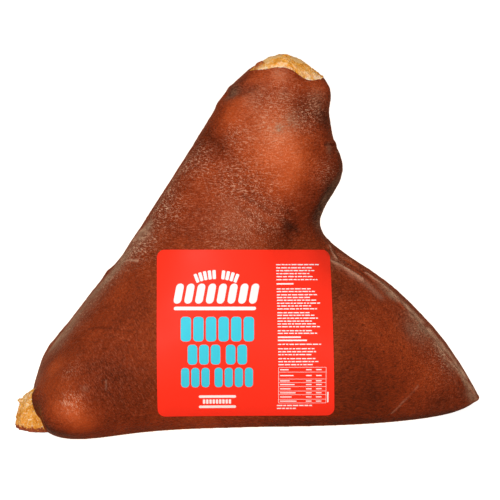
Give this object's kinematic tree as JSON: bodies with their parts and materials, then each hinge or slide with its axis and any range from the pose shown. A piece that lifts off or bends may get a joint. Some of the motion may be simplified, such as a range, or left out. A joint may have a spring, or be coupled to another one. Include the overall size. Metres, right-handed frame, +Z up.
{
  "type": "cooked half leg of ham on the bone",
  "caption": "Cooked half leg of ham with a glossy brown rind, standing on its flat cut face with the bare bone end up, and a rounded label on its front.",
  "frame": {"origin": "middle of the part's box at the level of the flat cut face it stands on", "axes": "+X from the knee to the thick end of the leg, across the label; +Y away from the label; +Z up along the shank"},
  "size_m": [0.3092, 0.1806, 0.2375],
  "materials": {
    "rind": "glossy, red-brown, with fine pores and wrinkles; bare fat and flesh at the shank's cut end, at the knee and on the base",
    "bone": "dull golden yellow, rough",
    "label": "satin bright red, with plain shapes in white and cyan"
  },
  "bodies": {
    "root": {"ham": "rind", "leg_bone": "bone", "label": "label"}
  },
  "joints": []
}
